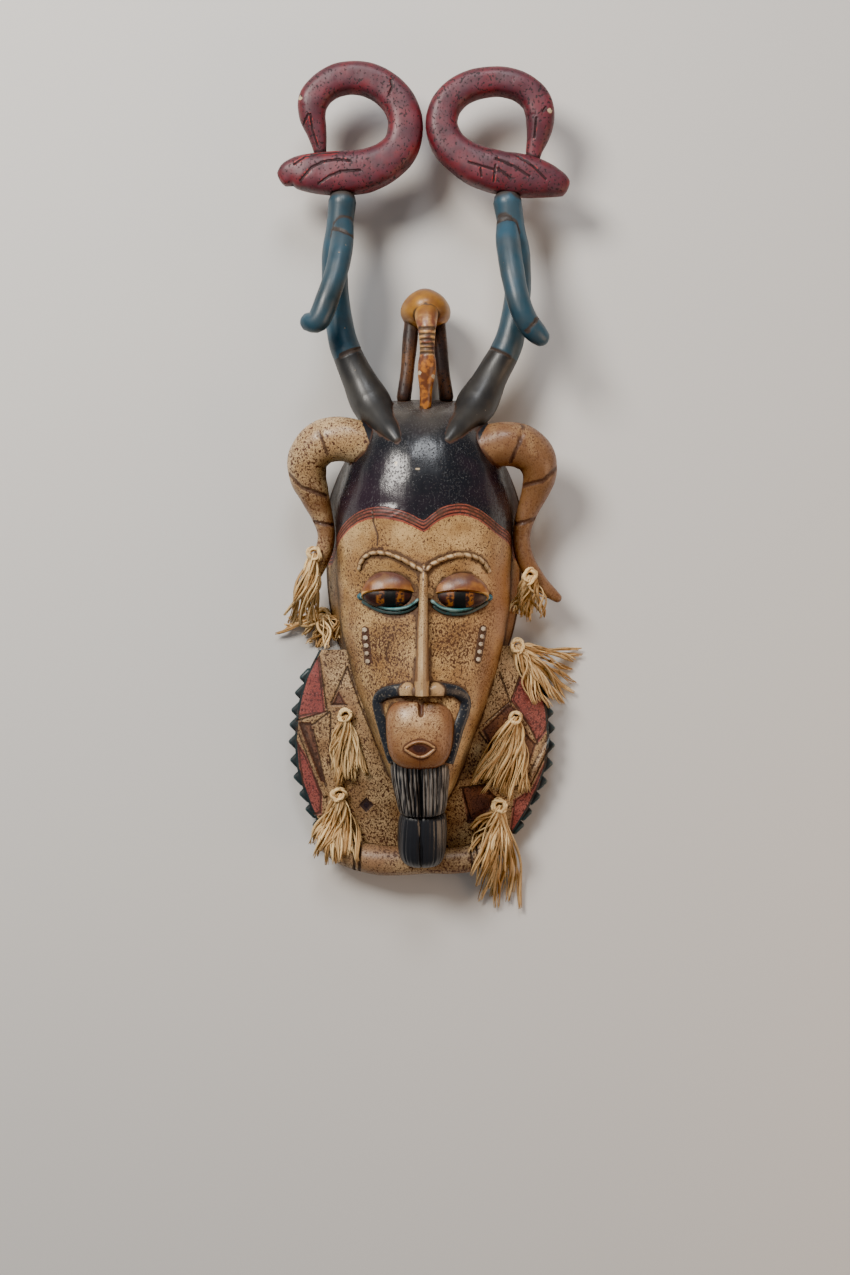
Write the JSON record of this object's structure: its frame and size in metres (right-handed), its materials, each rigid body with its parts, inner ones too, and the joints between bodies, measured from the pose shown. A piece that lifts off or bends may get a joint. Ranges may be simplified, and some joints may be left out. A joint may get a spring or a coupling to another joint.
{
  "type": "carved mask",
  "caption": "Carved and painted wooden face mask with tall bird-topped horns, ram horns, toothed wings, a beard and raffia tassels, lying on its back.",
  "frame": {"origin": "bottom centre of the part's box, on the plane of the mask's back rim", "axes": "+Z out of the face, +Y to the top of the head and the horns, +X to the viewer's right"},
  "size_m": [0.3226, 0.8584, 0.1361],
  "materials": {
    "painted_wood": "carved soft wood under cream, black, blue and dark red paint, rubbed and waxed",
    "raffia": "dry twisted palm raffia, matt"
  },
  "bodies": {
    "root": {"mask": "painted_wood", "tassel_left_horn": "raffia", "tassel_left_shoulder": "raffia", "tassel_left_wing": "raffia", "tassel_left_wing_low": "raffia", "tassel_right_horn": "raffia", "tassel_right_shoulder": "raffia", "tassel_right_wing": "raffia", "tassel_right_wing_low": "raffia"}
  },
  "joints": []
}
